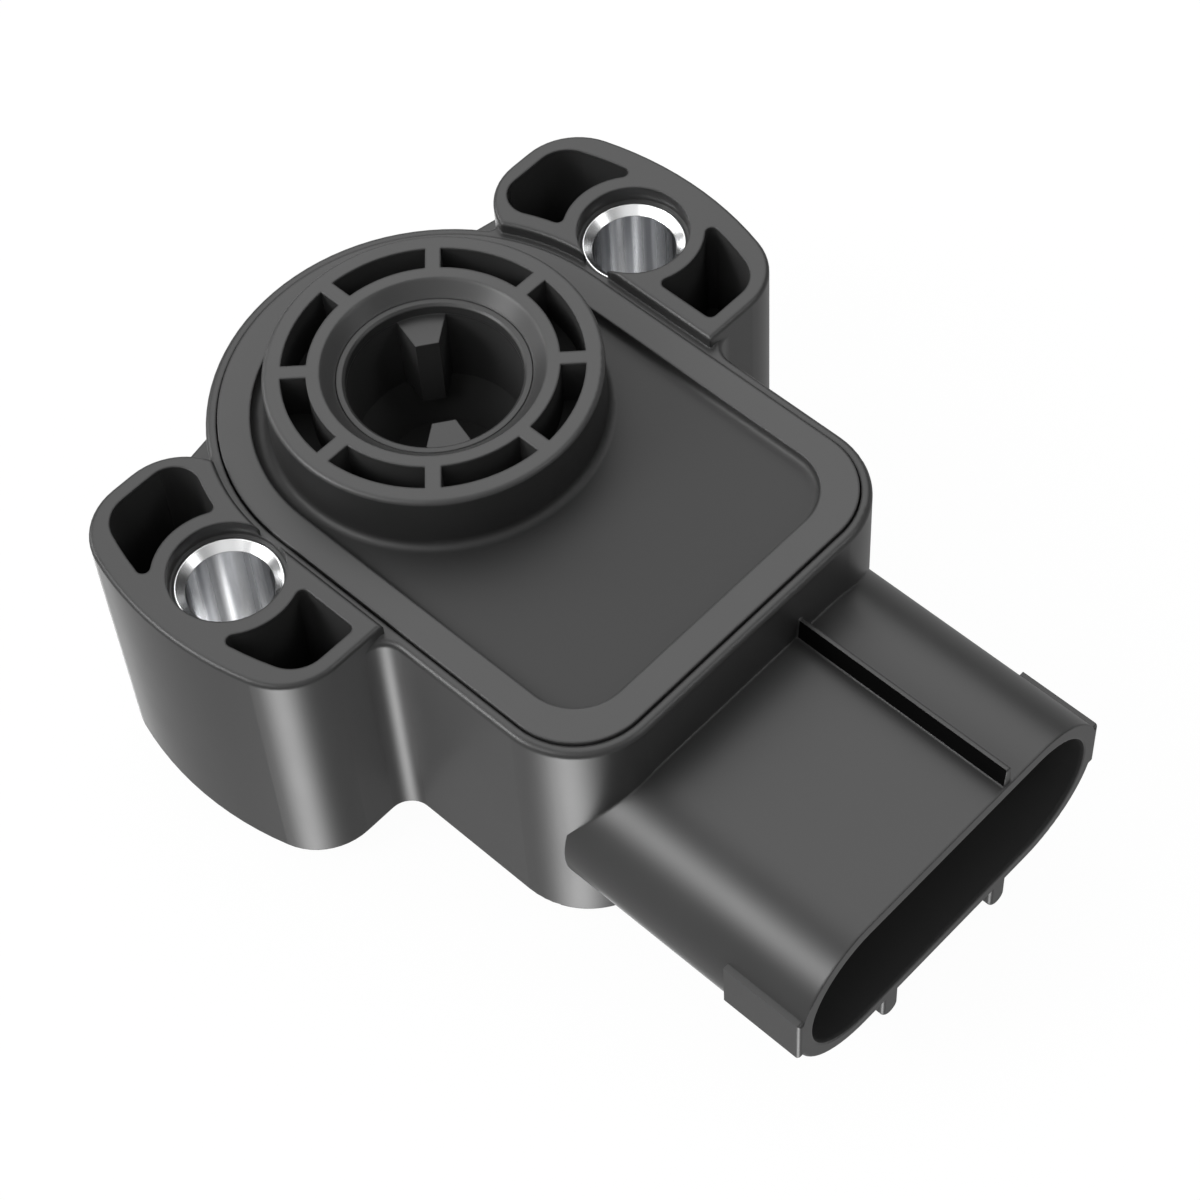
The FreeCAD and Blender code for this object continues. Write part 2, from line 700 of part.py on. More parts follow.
skirt = newSketch(frontCover, "SealSkirt", lift=coverUnder)
drawCircle(skirt, "0", "0", "skirtOuter")
pad(frontCover, "SealSkirtPad", skirt, f"{coverUnder} - skirtEnd", down=True)
locator = newSketch(frontCover, "Locator", lift=coverUnder)
drawLoop(locator, roundEndLoop("cavityRadius - locatorGap", "cavityEnd - locatorGap",
                               "cavityCorner - locatorGap"))
drawLoop(locator, roundEndLoop("cavityRadius - locatorGap - locatorWidth",
                               "cavityEnd - locatorGap - locatorWidth",
                               "cavityCorner - locatorGap - locatorWidth"))
pad(frontCover, "LocatorPad", locator, "locatorHeight", down=True)


# A sector of a ring, from one angle in degrees to another
def sectorLoop(inner, outer, start, end):
    def place(radius, angle):
        return (f"({radius}) * cos({angle})", f"({radius}) * sin({angle})")

    return [(place(outer, start), ("ccw", "0", "0")), (place(outer, end), "line"),
            (place(inner, end), ("cw", "0", "0")), (place(inner, start), "line")]


# The rotor's tab swings between two stop blocks on the cover's underside
stops = newSketch(frontCover, "StopBlocks", lift=coverUnder)
drawLoop(stops, sectorLoop("stopInner", "stopOuter", "tabAngle - tabGap - stopSpan", "tabAngle - tabGap"))
drawLoop(stops, sectorLoop("stopInner", "stopOuter", "tabAngle + tabSpan + travel + tabGap",
                           "tabAngle + tabSpan + travel + tabGap + stopSpan"))
pad(frontCover, "StopBlockPads", stops, "stopHeight", down=True)

boreSection = newSketch(frontCover, "BoreSection", "XZ_Plane")
rotorTop = "bossTop - throatDepth"
boreRadius = "journalRadius + runningClearance"
seatRadius = "sealOuter + pressClearance"
drawPolygon(boreSection, [
    ("0", "bossTop + throatDepth"), ("mouthRadius + mouthEase", "bossTop + throatDepth"),
    ("mouthRadius + mouthEase", "bossTop"), ("mouthRadius", "bossTop - mouthEase"),
    ("throatRadius", rotorTop), (boreRadius, rotorTop), (boreRadius, "sealSeatTop"),
    (seatRadius, "sealSeatTop"), (seatRadius, "skirtEnd - throatDepth"), ("0", "skirtEnd - throatDepth")])
revolve(frontCover, "BoreCut", boreSection, "Groove")

# Eight pockets in the boss ring, between spokes of even width
halfSpoke = "spokeWidth / 2"
cosStep = "cos(360 / ringCount)"
sinStep = "sin(360 / ringCount)"


def spokeCorner(radius):
    return f"sqrt(({radius})^2 - ({halfSpoke})^2)", halfSpoke


def nextSpokeCorner(radius):
    x, y = spokeCorner(radius)
    return f"{x} * {cosStep} + {y} * {sinStep}", f"{x} * {sinStep} - {y} * {cosStep}"


ringPocket = newSketch(frontCover, "RingPocket", lift="bossTop")
drawLoop(ringPocket, [(spokeCorner("ringOuter"), ("ccw", "0", "0")), (nextSpokeCorner("ringOuter"), "line"),
                      (nextSpokeCorner("ringInner"), ("cw", "0", "0")), (spokeCorner("ringInner"), "line")])
ringCut = pocket(frontCover, "RingPocketCut", ringPocket, "ringDepth")
ringPattern = frontCover.newObject("PartDesign::PolarPattern", "RingPockets")
ringPattern.Originals = [ringCut]
ringPattern.Axis = (originPlane(frontCover, "Z_Axis"), [""])
ringPattern.Angle = 360
ringPattern.setExpression("Occurrences", bound("ringCount"))
frontCover.Tip = ringPattern
doc.recompute()

# Flat seal between the cover and the ledge
coverSeal = newBody("cover_seal")
sealBed = newSketch(coverSeal, "SealBed", lift=ledgeLevel)
drawLoop(sealBed, roundEndLoop(seamOuter, seamEndOuter, seamCornerOuter))
drawLoop(sealBed, roundEndLoop(f"{seamOuter} - sealBedWidth", f"{seamEndOuter} - sealBedWidth",
                               f"{seamCornerOuter} - sealBedWidth"))
pad(coverSeal, "SealBedPad", sealBed, "sealBedThickness")

# Turned pieces

limiterTop = "-limiterDrop"
for label, side in (("limiter_near", "-"), ("limiter_far", "")):
    limiter = turned(label, [
        ("limiterBore + limiterBevel", limiterTop), ("limiterOuter - limiterEase", limiterTop),
        ("limiterOuter", f"{limiterTop} - limiterEase"), ("limiterOuter", "baseLevel + limiterEase"),
        ("limiterOuter - limiterEase", "baseLevel"), ("limiterBore + limiterEase", "baseLevel"),
        ("limiterBore", "baseLevel + limiterEase"), ("limiterBore", f"{limiterTop} - limiterBevel")])
    limiter.setExpression("Placement.Base.y", bound(f"{side}holePitch / 2"))

turned("shaft_seal", [
    (boreRadius, "sealSeatTop"), ("sealOuter", "sealSeatTop"), ("sealOuter", "sealSeatTop - sealHeight"),
    ("sealOuter - sealWall", "sealSeatTop - sealHeight"), ("sealOuter - sealWall", "sealSeatTop - sealWall"),
    (f"{boreRadius} + sealWall", "sealSeatTop - sealWall"),
    (f"{boreRadius} + sealWall / 2", "sealSeatTop - sealHeight + sealWall / 2"),
    (boreRadius, "sealSeatTop - sealHeight + sealWall / 2")])

turned("thrust_washer", [
    ("thrustInner", pivotBossTop), ("thrustOuter", pivotBossTop),
    ("thrustOuter", f"{pivotBossTop} + thrustThickness"), ("thrustInner", f"{pivotBossTop} + thrustThickness")])

turned("spring_washer", [
    ("discSpringInner", "flangeTop + discSpringGap"),
    ("discSpringOuter", "skirtEnd - discSpringGap - discSpringThickness"),
    ("discSpringOuter", "skirtEnd - discSpringGap"),
    ("discSpringInner", "flangeTop + discSpringGap + discSpringThickness")])

# Rotor, turned about the boss axis with its two drive lugs along its own X axis

rotor = newBody("rotor")
rotor.setExpression("Placement.Rotation.Angle", bound("lugAngle"))
rotorSection = newSketch(rotor, "RotorSection", "XZ_Plane")
flangeUnder = "flangeTop - flangeThickness"
drawPolygon(rotorSection, [
    ("0", f"{rotorTop} - driveFloorDepth"), ("driveFloorRadius", f"{rotorTop} - driveFloorDepth"),
    ("driveRadius", f"{rotorTop} - driveWallDepth"), ("driveRadius", f"{rotorTop} - driveEase"),
    ("driveRadius + driveEase", rotorTop), ("journalRadius", rotorTop), ("journalRadius", "flangeTop"),
    ("flangeRadius", "flangeTop"), ("flangeRadius", flangeUnder), ("barrelRadius", flangeUnder),
    ("barrelRadius", "barrelEnd"), ("hubRadius", "barrelEnd"), ("hubRadius", "hubEnd"),
    ("pivotRadius", "hubEnd"), ("pivotRadius", "hubEnd - pivotLength + pivotRadius / 10"),
    ("0", "hubEnd - pivotLength + pivotRadius / 10")])
revolve(rotor, "RotorTurning", rotorSection)

lugTop = f"{rotorTop} - lugDrop"
lugRoot = "(driveRadius + journalRadius) / 2"
lugs = newSketch(rotor, "DriveLugs", lift=lugTop)
for side in ("", "-"):
    drawPolygon(lugs, [(f"{side}lugTip", "-lugTipWidth / 2"), (f"{side}{lugRoot}", "-lugRootWidth / 2"),
                       (f"{side}{lugRoot}", "lugRootWidth / 2"), (f"{side}lugTip", "lugTipWidth / 2")])
pad(rotor, "DriveLugPads", lugs, "lugDepth", down=True)

tab = newSketch(rotor, "StopTab", lift="flangeTop")
drawLoop(tab, sectorLoop("tabInner", "flangeRadius", "tabAngle - lugAngle", "tabAngle - lugAngle + tabSpan"))
pad(rotor, "StopTabPad", tab, "tabHeight")

legSlot = newSketch(rotor, "SpringLegSlot", lift="barrelEnd")
drawLoop(legSlot, sectorLoop("springRadius - springWire / 2 - legSlotGap",
                             "springRadius + springWire / 2 + legSlotGap",
                             "springEndAngle - lugAngle - travel - legSlotSpan",
                             "springEndAngle - lugAngle + legSlotSpan"))
pocket(rotor, "SpringLegSlotCut", legSlot, "legSlotDepth", up=True)

# Wiper: a sprung metal bridge under the flange, with a finger on each track

trackTop = "boardTop + trackThickness"
wiper = newBody("wiper")
wiper.setExpression("Placement.Rotation.Angle", bound("wiperAngle"))
bridge = newSketch(wiper, "WiperBridge", lift=flangeUnder)
drawLoop(bridge, sectorLoop("barrelRadius + wiperGap", "flangeRadius", "-wiperSpan / 2", "wiperSpan / 2"))
pad(wiper, "WiperBridgePad", bridge, "wiperThickness", down=True)
wiperUnder = f"{flangeUnder} - wiperThickness"
wiperFoot = f"{trackTop} + wiperLift"
for name, trackRadius in (("CollectorFinger", "collectorRadius"),
                          ("ResistorFinger", "resistorRadius - wiperFingerWidth / 2")):
    finger = newSketch(wiper, name, "YZ_Plane", f"{trackRadius} - wiperFingerWidth / 2")
    drawPolygon(finger, [
        ("-wiperFingerRoot", f"{wiperUnder} + wiperThickness"), ("-wiperFingerRoot", wiperUnder),
        ("-wiperFingerReach", wiperFoot), ("-wiperFingerReach - wiperFingerWidth", wiperFoot),
        ("-wiperFingerReach - wiperFingerWidth", f"{wiperFoot} + wiperThickness"),
        ("-wiperFingerReach - wiperThickness / 2", f"{wiperFoot} + wiperThickness"),
        ("-wiperFingerRoot - wiperThickness", f"{wiperUnder} + wiperThickness")])
    pad(wiper, f"{name}Pad", finger, "wiperFingerWidth")

# Element board with its printed tracks and conductors

board = newBody("element_board")
boardOutline = newSketch(board, "BoardOutline", lift=boardUnder)
drawLoop(boardOutline, roundEndLoop("cavityRadius - boardGap", "cavityEnd - boardGap",
                                    "cavityCorner - boardGap"))
pad(board, "BoardPad", boardOutline, "boardThickness")


# Rectangular holes for the terminal legs
def drawLegHoles(sketch, rows):
    for rowY in rows:
        drawPolygon(sketch, [("terminalLegX", f"{rowY} - terminalLegWidth / 2"),
                             ("terminalLegX + terminalThickness", f"{rowY} - terminalLegWidth / 2"),
                             ("terminalLegX + terminalThickness", f"{rowY} + terminalLegWidth / 2"),
                             ("terminalLegX", f"{rowY} + terminalLegWidth / 2")])


boardHoles = newSketch(board, "BoardHoles", lift="boardTop")
drawCircle(boardHoles, "0", "0", "boardHole")
drawLegHoles(boardHoles, terminalRows)
pocket(board, "BoardHoleCuts", boardHoles, "boardThickness")

trackStart = "180 - trackSpan / 2"
trackEnd = "180 + trackSpan / 2"
for label, radius in (("resistor_track", "resistorRadius"), ("collector_track", "collectorRadius")):
    track = newBody(label)
    outline = newSketch(track, f"{label}Outline", lift="boardTop")
    drawLoop(outline, sectorLoop(f"{radius} - trackWidth / 2", f"{radius} + trackWidth / 2", trackStart,
                                 trackEnd))
    pad(track, f"{label}Print", outline, "trackThickness")

padX = "terminalLegX + terminalThickness / 2"
conductors = (
    ("conductor_near", "resistorRadius", trackEnd, "360", terminalRows[0]),
    ("conductor_middle", "collectorRadius", "0", trackStart, terminalRows[1]),
    ("conductor_far", "resistorRadius", "0", trackStart, terminalRows[2]),
)
for label, radius, start, end, rowY in conductors:
    conductor = newBody(label)
    inner = f"{radius} - traceWidth / 2"
    outer = f"{radius} + traceWidth / 2"
    edgeLow = f"{rowY} - traceWidth / 2"
    edgeHigh = f"{rowY} + traceWidth / 2"
    arcOutline = newSketch(conductor, f"{label}Arc", lift="boardTop")
    startAngle = start if value(start) > 180 else f"asin(({edgeLow}) / ({inner})) * 1 / (1 deg)"
    endAngle = end if value(end) < 180 else f"360 + asin(({edgeHigh}) / ({inner})) * 1 / (1 deg)"
    drawLoop(arcOutline, sectorLoop(inner, outer, startAngle, endAngle))
    pad(conductor, f"{label}ArcPrint", arcOutline, "trackThickness")
    strip = newSketch(conductor, f"{label}Strip", lift="boardTop")
    stripStart = f"sqrt(({radius})^2 - ({rowY})^2)"
    drawPolygon(strip, [(stripStart, edgeLow), (padX, edgeLow), (padX, edgeHigh), (stripStart, edgeHigh)])
    pad(conductor, f"{label}StripPrint", strip, "trackThickness")
    land = newSketch(conductor, f"{label}Land", lift="boardTop")
    drawCircle(land, padX, rowY, "solderRadius + traceWidth / 4")
    pad(conductor, f"{label}LandPrint", land, "trackThickness")
    legHole = newSketch(conductor, f"{label}LegHole", lift=trackTop)
    drawLegHoles(legHole, [rowY])
    pocket(conductor, f"{label}LegCut", legHole, "trackThickness")

# Terminals, each a blade in the socket and a leg up through the board, and their solder joints

for number, rowY in enumerate(terminalRows, start=1):
    terminal = newBody(f"terminal_{number}")
    terminal.setExpression("Placement.Base.y", bound(rowY))
    bladeLow = "shroudLevel - terminalThickness / 2"
    bladeHigh = "shroudLevel + terminalThickness / 2"
    blade = newSketch(terminal, f"Blade{number}", "XZ_Plane")
    drawPolygon(blade, [
        ("terminalLegX", bladeLow), ("terminalTip - terminalPoint", bladeLow),
        ("terminalTip", "shroudLevel - terminalThickness / 6"),
        ("terminalTip", "shroudLevel + terminalThickness / 6"),
        ("terminalTip - terminalPoint", bladeHigh), ("terminalLegX", bladeHigh)])
    pad(terminal, f"Blade{number}Pad", blade, "terminalWidth", symmetric=True)
    leg = newSketch(terminal, f"Leg{number}", "XZ_Plane")
    drawPolygon(leg, [
        ("terminalLegX", "shroudLevel"), ("terminalLegX + terminalThickness", "shroudLevel"),
        ("terminalLegX + terminalThickness", "boardTop + terminalStand"),
        ("terminalLegX", "boardTop + terminalStand")])
    pad(terminal, f"Leg{number}Pad", leg, "terminalLegWidth", symmetric=True)

    bead = doc.addObject("Part::Cone", f"SolderBead{number}")
    bead.setExpression("Radius1", bound("solderRadius"))
    bead.setExpression("Radius2", bound("solderTopRadius"))
    bead.setExpression("Height", bound("solderHeight"))
    bead.setExpression("Placement.Base.x", bound(padX))
    bead.setExpression("Placement.Base.y", bound(rowY))
    bead.setExpression("Placement.Base.z", bound(trackTop))
    legSpace = doc.addObject("Part::Box", f"SolderLegSpace{number}")
    legSpace.setExpression("Length", bound("terminalThickness"))
    legSpace.setExpression("Width", bound("terminalLegWidth"))
    legSpace.setExpression("Height", bound("terminalStand"))
    legSpace.setExpression("Placement.Base.x", bound("terminalLegX"))
    legSpace.setExpression("Placement.Base.y", bound(f"{rowY} - terminalLegWidth / 2"))
    legSpace.setExpression("Placement.Base.z", bound(trackTop))
    joint = doc.addObject("Part::Cut", f"solder_joint_{number}")
    joint.Base = bead
    joint.Tool = legSpace
    joint.Label = f"solder_joint_{number}"

# Return spring: a close coil round the rotor's hub, one leg out to the stop, one up into the rotor

coil = doc.addObject("Part::Helix", "SpringCoil")
coil.setExpression("Radius", bound("springRadius"))
coil.setExpression("Pitch", bound("springPitch"))
coil.setExpression("Height", bound("springPitch * springTurns"))
coil.setExpression("Placement.Base.z", bound("springLow"))
wireSides = 8
wireSection = doc.addObject("Part::RegularPolygon", "SpringWireSection")
wireSection.Polygon = wireSides
wireSection.setExpression("Circumradius", bound("springWire / 2"))
wireSection.setExpression("Placement.Base.x", bound("springRadius"))
wireSection.setExpression("Placement.Base.z", bound("springLow"))
acrossFlats = FreeCAD.Rotation(FreeCAD.Vector(0, 0, 1), 180 / wireSides)
wireSection.Placement.Rotation = FreeCAD.Rotation(FreeCAD.Vector(1, 0, 0), 90) * acrossFlats
coilWire = doc.addObject("Part::Sweep", "SpringCoilWire")
coilWire.Sections = [wireSection]
coilWire.Spine = (coil, ["Edge1"])
coilWire.Solid = True
coilWire.Frenet = True
lowerLeg = doc.addObject("Part::Cylinder", "SpringLowerLeg")
lowerLeg.setExpression("Radius", bound("springWire / 2"))
lowerLeg.setExpression("Height", bound("springLegLength"))
lowerLeg.setExpression("Placement.Base.x", bound("springRadius"))
lowerLeg.setExpression("Placement.Base.z", bound("springLow"))
lowerLeg.Placement.Rotation = FreeCAD.Rotation(FreeCAD.Vector(0, 1, 0), 90)
upperLeg = doc.addObject("Part::Cylinder", "SpringUpperLeg")
springEndLevel = "springLow + springPitch * springTurns"
upperLeg.setExpression("Radius", bound("springWire / 2"))
upperLeg.setExpression("Height", bound(f"barrelEnd + legSlotDepth - legSlotGap - ({springEndLevel})"))
upperLeg.setExpression("Placement.Base.x", bound("springRadius * cos(springEndAngle)"))
upperLeg.setExpression("Placement.Base.y", bound("springRadius * sin(springEndAngle)"))
upperLeg.setExpression("Placement.Base.z", bound(springEndLevel))
returnSpring = doc.addObject("Part::MultiFuse", "return_spring")
returnSpring.Shapes = [coilWire, lowerLeg, upperLeg]
returnSpring.Label = "return_spring"

# Every object has to be sound before anything is written

doc.recompute()
for item in doc.Objects:
    if "Invalid" in item.State or "Error" in item.State:
        raise RuntimeError(f"{item.Name} did not compute: {item.State}")

pieces = [item for item in doc.Objects if item.isDerivedFrom("PartDesign::Body")]
pieces += [item for item in doc.Objects if item.Label.startswith("solder_joint_")] + [returnSpring]
for piece in pieces:
    if piece.Shape.isNull() or not piece.Shape.isValid():
        raise RuntimeError(f"{piece.Label} has no sound shape")
    piece.Shape.exportStep(f"parts/{piece.Label}.step")
    print(piece.Label, len(piece.Shape.Solids), round(piece.Shape.Volume, 2))
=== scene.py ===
import math

import bpy
from mathutils import Matrix, Vector


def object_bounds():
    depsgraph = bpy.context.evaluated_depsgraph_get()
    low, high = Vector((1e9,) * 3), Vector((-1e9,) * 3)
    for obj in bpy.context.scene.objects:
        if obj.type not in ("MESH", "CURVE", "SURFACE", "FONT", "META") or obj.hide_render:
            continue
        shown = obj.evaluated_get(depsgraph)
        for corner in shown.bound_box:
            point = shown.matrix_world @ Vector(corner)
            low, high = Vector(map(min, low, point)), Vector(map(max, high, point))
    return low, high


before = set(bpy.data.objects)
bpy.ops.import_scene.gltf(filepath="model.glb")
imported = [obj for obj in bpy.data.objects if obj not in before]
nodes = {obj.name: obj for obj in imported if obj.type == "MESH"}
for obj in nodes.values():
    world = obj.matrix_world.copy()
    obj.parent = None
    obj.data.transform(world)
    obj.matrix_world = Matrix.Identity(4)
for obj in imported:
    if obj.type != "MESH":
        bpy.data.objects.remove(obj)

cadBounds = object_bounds()
mm = 0.001
white = (1, 1, 1, 1)
softSamples = 6  # rays that a soft edge looks round with
mixSockets = {"FLOAT": (2, 3, 0), "VECTOR": (4, 5, 1), "RGBA": (6, 7, 2)}  # Mix: two inputs, output
print("frame loaded:", len(nodes), "nodes")


class Wire:
    # a shader socket that works in plain sums
    def __init__(self, finish, socket):
        self.finish = finish
        self.socket = socket

    def sum(self, operation, first, second=0.0, third=0.0):
        return self.finish.node("ShaderNodeMath", {"operation": operation},
                                {0: first, 1: second, 2: third})

    def __add__(self, other):
        return self.sum("ADD", self, other)

    def __radd__(self, other):
        return self.sum("ADD", other, self)

    def __sub__(self, other):
        return self.sum("SUBTRACT", self, other)

    def __rsub__(self, other):
        return self.sum("SUBTRACT", other, self)

    def __mul__(self, other):
        return self.sum("MULTIPLY", self, other)

    def __rmul__(self, other):
        return self.sum("MULTIPLY", other, self)

    def __pow__(self, other):
        return self.sum("POWER", self, other)

    def __abs__(self):
        return self.sum("ABSOLUTE", self)

    def __gt__(self, other):
        return self.sum("GREATER_THAN", self, other)

    def __lt__(self, other):
        return self.sum("LESS_THAN", self, other)

    def floorAt(self, other):
        return self.sum("MAXIMUM", self, other)

    def within(self, middle, reach):
        return self.sum("COMPARE", self, middle, reach)

    def angleTo(self, other):
        return self.sum("ARCTAN2", self, other)

    def sine(self):
        return self.sum("SINE", self)

    def cosine(self):
        return self.sum("COSINE", self)


class Finish:
    # one material or world, its nodes made by a single method
    def __init__(self, owner):
        self.owner = owner
        owner.use_nodes = True
        self.tree = owner.node_tree
        self.tree.nodes.clear()

    def node(self, kind, settings=None, sockets=None, out=0):
        made = self.tree.nodes.new(kind)
        for key, setting in (settings or {}).items():
            setattr(made, key, setting)
        for key, feed in (sockets or {}).items():
            if isinstance(feed, Wire):
                self.tree.links.new(feed.socket, made.inputs[key])
            else:
                made.inputs[key].default_value = feed
        return Wire(self, made.outputs[out])

    def place(self):
        return self.node("ShaderNodeTexCoord", out="Object")

    def axes(self, vector):
        return [self.node("ShaderNodeSeparateXYZ", sockets={"Vector": vector}, out=part)
                for part in range(3)]

    def vector(self, x, y, z):
        return self.node("ShaderNodeCombineXYZ", sockets={"X": x, "Y": y, "Z": z})

    def noise(self, scale, detail, roughness=0.55, vector=None):
        return self.node("ShaderNodeTexNoise", sockets={
            "Vector": vector or self.place(), "Scale": scale, "Detail": detail,
            "Roughness": roughness})

    def between(self, source, low, high, outLow=0.0, outHigh=1.0, curve="LINEAR"):
        # low to high in the source becomes outLow to outHigh, and it stops there at both ends
        return self.node("ShaderNodeMapRange", {"interpolation_type": curve}, {
            0: source, 1: low, 2: high, 3: outLow, 4: outHigh})

    def mix(self, kind, factor, first, second):
        firstSocket, secondSocket, out = mixSockets[kind]
        return self.node("ShaderNodeMix", {"data_type": kind}, {
            0: factor, firstSocket: first, secondSocket: second}, out)

    def blend(self, factor, first, second):
        return self.mix("RGBA", factor, first, second)

    def bump(self, height, depth, strength, normal=None):
        sockets = {"Strength": strength, "Distance": depth, "Height": height}
        if normal:
            sockets["Normal"] = normal
        return self.node("ShaderNodeBump", sockets=sockets)

    def softEdges(self, radius):
        return self.node("ShaderNodeBevel", {"samples": softSamples}, {"Radius": radius})

    def skin(self, **sockets):
        named = {key.replace("_", " "): feed for key, feed in sockets.items()}
        return self.node("ShaderNodeBsdfPrincipled", sockets=named)

    def shade(self, **sockets):
        return self.show(self.skin(**sockets))

    def layer(self, factor, first, second):
        return self.node("ShaderNodeMixShader", sockets={0: factor, 1: first, 2: second})

    def show(self, surface, kind="ShaderNodeOutputMaterial"):
        output = self.tree.nodes.new(kind)
        self.tree.links.new(surface.socket, output.inputs["Surface"])
        return self.owner


def grey(level):
    # a written sRGB grey level, 0 to 255, as a linear colour
    part = level / 255
    linear = part / 12.92 if part <= 0.04045 else ((part + 0.055) / 1.055) ** 2.4
    return (linear, linear, linear, 1)


def distance(first, second):
    return (first ** 2.0 + second ** 2.0) ** 0.5


def ripple(along, pitch):
    return (along * (2 * math.pi / pitch)).sine()


def newFinish(name):
    return Finish(bpy.data.materials.new(name))


def dress(material, *names):
    for name in names:
        slots = nodes[name].material_slots
        for slot in slots:
            slot.material = material
        if not len(slots):
            nodes[name].data.materials.append(material)


# What the three black mouldings share; hollows are matt, and as dark as the photograph has them:
# painted shade in part
mouldingLook = {
    "cloudDetail": 5.0, "cloudLow": 0.35, "cloudHigh": 0.65, "cloudRoughness": 0.04,
    "grainScale": 9000.0, "grainDetail": 2.0, "grainHeight": 0.003 * mm, "grainStrength": 0.6,
    "refraction": 1.5,
    "hollowColour": 48, "hollowCloud": 52, "hollowRoughness": 0.9, "hollowGloss": 0.05,
}


def plasticFinish(name, look, hollowMask, paintedLightMask=None, paintedShadow=None):
    # satin moulding: soft flow clouds, fine spark grain, matt dark hollows that are painted shade
    # in part, and painted light and painted shadow where masks are given
    shared = mouldingLook
    finish = newFinish(name)
    place = finish.place()
    x, y, z = finish.axes(place)
    flow = finish.noise(look["cloudScale"], shared["cloudDetail"], vector=place)
    cloud = finish.between(flow, shared["cloudLow"], shared["cloudHigh"])
    grain = finish.noise(shared["grainScale"], shared["grainDetail"], vector=place)
    # hollows: matt and without sheen, painted shade in part
    hollow = hollowMask(x, y, z)
    face = finish.blend(cloud, grey(look["colour"]), grey(look["cloudColour"]))
    matt = finish.blend(cloud, grey(shared["hollowColour"]), grey(shared["hollowCloud"]))
    rough = look["roughness"] + cloud * shared["cloudRoughness"]
    # painted light: the masked faces get a paler colour
    if paintedLightMask:
        paintedLit = paintedLightMask(finish, x, y, z)
        face = finish.blend(paintedLit, face, grey(look["paintedLightColour"]))
        rough = rough + paintedLit * look["raisedRoughness"]
    # painted shadow: the masked faces go near black and matt
    if paintedShadow:
        shadowed = paintedShadow(x, y, z)
        hollow = hollow + shadowed
        matt = finish.blend(shadowed, matt, grey(look["shadowColour"]))
    own = finish.node("ShaderNodeNewGeometry", out="Normal")
    eased = finish.mix("VECTOR", z > look["easedAbove"], own, finish.softEdges(look["edgeRadius"]))
    bump = finish.bump(grain, shared["grainHeight"], shared["grainStrength"], eased)
    satin = finish.skin(Base_Color=face, Roughness=rough, Normal=bump, IOR=shared["refraction"])
    dull = finish.skin(Base_Color=matt, Roughness=shared["hollowRoughness"],
                       Specular_IOR_Level=shared["hollowGloss"])
    return finish.show(finish.layer(hollow, satin, dull))


# Case: dark and matt inside the ear pockets and the socket, painted shade in part, and the guide
# rib's near side a painted shadow
caseLook = {
    "colour": 44, "cloudColour": 48, "shadowColour": 5, "roughness": 0.34, "cloudScale": 70.0,
    "edgeRadius": 0.26 * mm, "easedAbove": -10 * mm,
    "holeY": 20.15 * mm, "holeRing": 5.15 * mm,
    "pocketX": 9.9 * mm, "pocketNear": 17.4 * mm, "pocketFar": 24.75 * mm,
    "pocketTop": -0.2 * mm, "pocketLow": -9.2 * mm,
    "socketX": 31.4 * mm, "socketY": -0.4 * mm, "socketZ": -13.4 * mm,
    "socketStraight": 8.62 * mm, "socketReach": 5.55 * mm,
    "ribStart": 29.4 * mm, "ribEnd": 47.3 * mm, "ribSide": 4.8 * mm, "ribFoot": -6.57 * mm,
}


def caseHollows(x, y, z):
    look = caseLook
    fromHole = distance(x, abs(y) - look["holeY"])
    fromAxis = distance(x, y)
    pocket = ((abs(x) < look["pocketX"]) * (abs(y) > look["pocketNear"])
              * (fromAxis < look["pocketFar"]) * (fromHole > look["holeRing"])
              * (z < look["pocketTop"]) * (z > look["pocketLow"]))
    past = (abs(y - look["socketY"]) - look["socketStraight"]).floorAt(0.0)
    fromSocket = distance(past, z - look["socketZ"])
    return pocket + (x > look["socketX"]) * (fromSocket < look["socketReach"])


def ribSideShadow(x, y, z):
    # painted shadow: near black and matt, as the photograph has it
    look = caseLook
    return ((x > look["ribStart"]) * (x < look["ribEnd"]) * (y < look["ribSide"])
            * (z > look["ribFoot"]))


dress(plasticFinish("casePlastic", caseLook, caseHollows, paintedShadow=ribSideShadow), "housing")

# Cover: dark cores in the boss ring, painted shade in part, and raised faces smoother and painted
# paler than the recess, as painted light
coverLook = {
    "colour": 32, "cloudColour": 36, "paintedLightColour": 54, "roughness": 0.5, "raisedRoughness": -0.14,
    "cloudScale": 70.0, "edgeRadius": 0.26 * mm, "easedAbove": -10 * mm,
    "coreInner": 8.78 * mm, "coreOuter": 10.64 * mm, "coreTop": 3.15 * mm, "coreLow": -0.75 * mm,
    "recessLevel": -1.45 * mm, "borderLevel": -0.85 * mm,
    "sideInner": 11.7 * mm, "sideOuter": 12.6 * mm, "sideTop": 3.0 * mm,
}


def coverHollows(x, y, z):
    look = coverLook
    fromAxis = distance(x, y)
    return ((fromAxis > look["coreInner"]) * (fromAxis < look["coreOuter"])
            * (z < look["coreTop"]) * (z > look["coreLow"]))


def raisedPaintedLight(finish, x, y, z):
    # all that stands above the recess floor, but not the boss's side: painted light, paler than the
    # recess
    look = coverLook
    fromAxis = distance(x, y)
    side = ((fromAxis > look["sideInner"]) * (fromAxis < look["sideOuter"])
            * (z < look["sideTop"]))
    return finish.between(z, look["recessLevel"], look["borderLevel"]) * (1.0 - side)


dress(plasticFinish("coverPlastic", coverLook, coverHollows, raisedPaintedLight), "front_cover")

